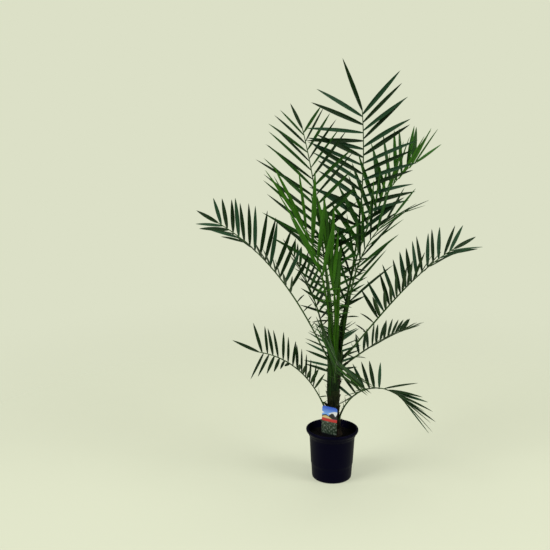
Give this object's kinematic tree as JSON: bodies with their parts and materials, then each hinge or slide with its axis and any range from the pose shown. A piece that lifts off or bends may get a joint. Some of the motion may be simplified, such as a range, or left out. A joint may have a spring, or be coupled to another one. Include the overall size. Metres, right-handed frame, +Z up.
{
  "type": "potted pygmy date palm",
  "caption": "Young feather palm with a short fibrous trunk and arching fronds of narrow leaflets, in a round black nursery pot with a care tag.",
  "frame": {"origin": "centre of the pot's flat underside, on the surface that the pot stands on", "axes": "+Z up; -Y is the front, where the care tag stands; +X to the right seen from the front"},
  "size_m": [0.4089, 0.3024, 0.6045],
  "materials": {
    "pot_plastic": "satin",
    "compost": "matte",
    "tag_card": "gloss",
    "trunk_fibre": "matte",
    "leaf": "satin",
    "young_leaf": "satin"
  },
  "bodies": {
    "root": {"pot": "pot_plastic", "compost": "compost", "care_tag": "tag_card", "trunk": "trunk_fibre", "frond_top": "leaf", "frond_upper_left": "leaf", "frond_upper_right": "leaf", "frond_right_behind_foot": "leaf", "frond_right_behind": "leaf", "frond_young_left": "young_leaf", "frond_young_front": "young_leaf", "frond_left": "leaf", "frond_right": "leaf", "frond_low_left": "leaf", "frond_low_right_foot": "leaf", "frond_low_right": "leaf", "frond_front": "leaf", "frond_right_back": "leaf", "frond_left_back": "leaf", "frond_back": "leaf", "frond_low_back_foot": "leaf", "frond_low_back": "leaf"}
  },
  "joints": []
}
